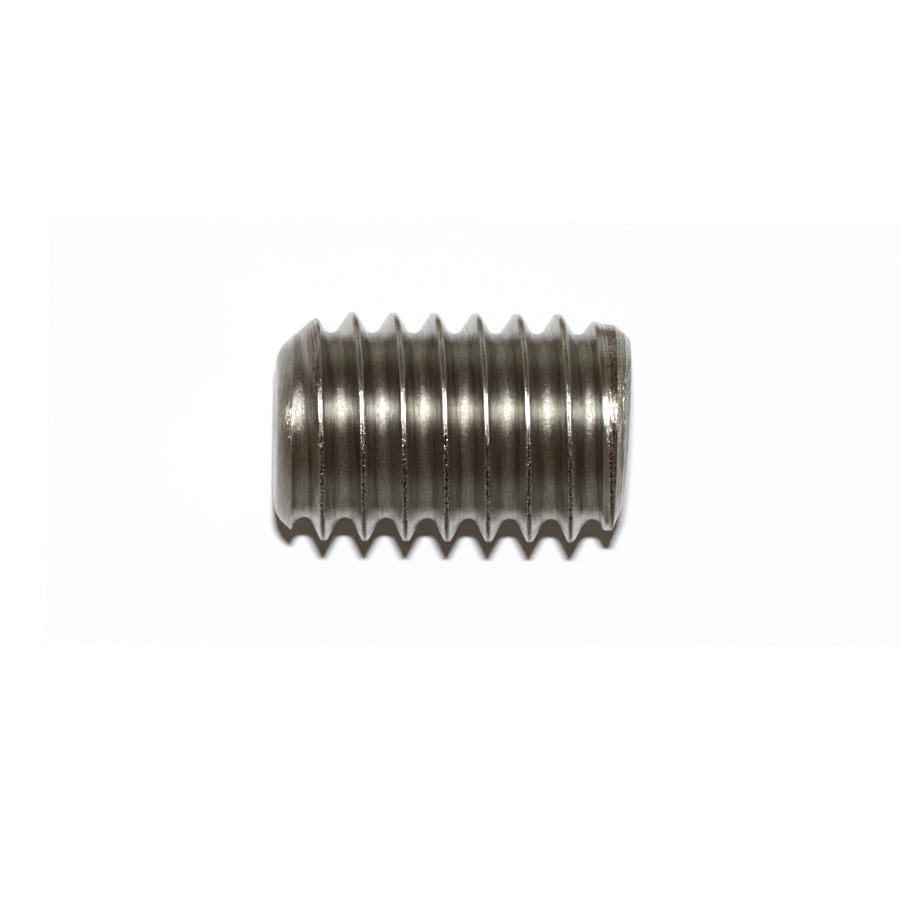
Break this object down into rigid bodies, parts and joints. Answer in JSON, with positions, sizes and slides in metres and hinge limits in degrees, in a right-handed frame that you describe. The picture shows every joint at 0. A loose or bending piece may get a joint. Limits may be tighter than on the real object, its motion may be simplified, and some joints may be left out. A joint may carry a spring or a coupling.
{
  "type": "grub set screw",
  "caption": "Headless grub set screw with a right-hand thread along its whole length, a flat chamfered point and a hexagon socket.",
  "frame": {"origin": "centre of the point's flat face, which the screw stands on", "axes": "+Z along the screw's axis, from the point to the mouth of the socket; +X and +Y across it, with one flat of the hexagon facing +Y"},
  "size_m": [0.0038, 0.0038, 0.006],
  "materials": {
    "stainless_steel": "rolled and turned, plain"
  },
  "bodies": {
    "root": {"set_screw": "stainless_steel"}
  },
  "joints": []
}
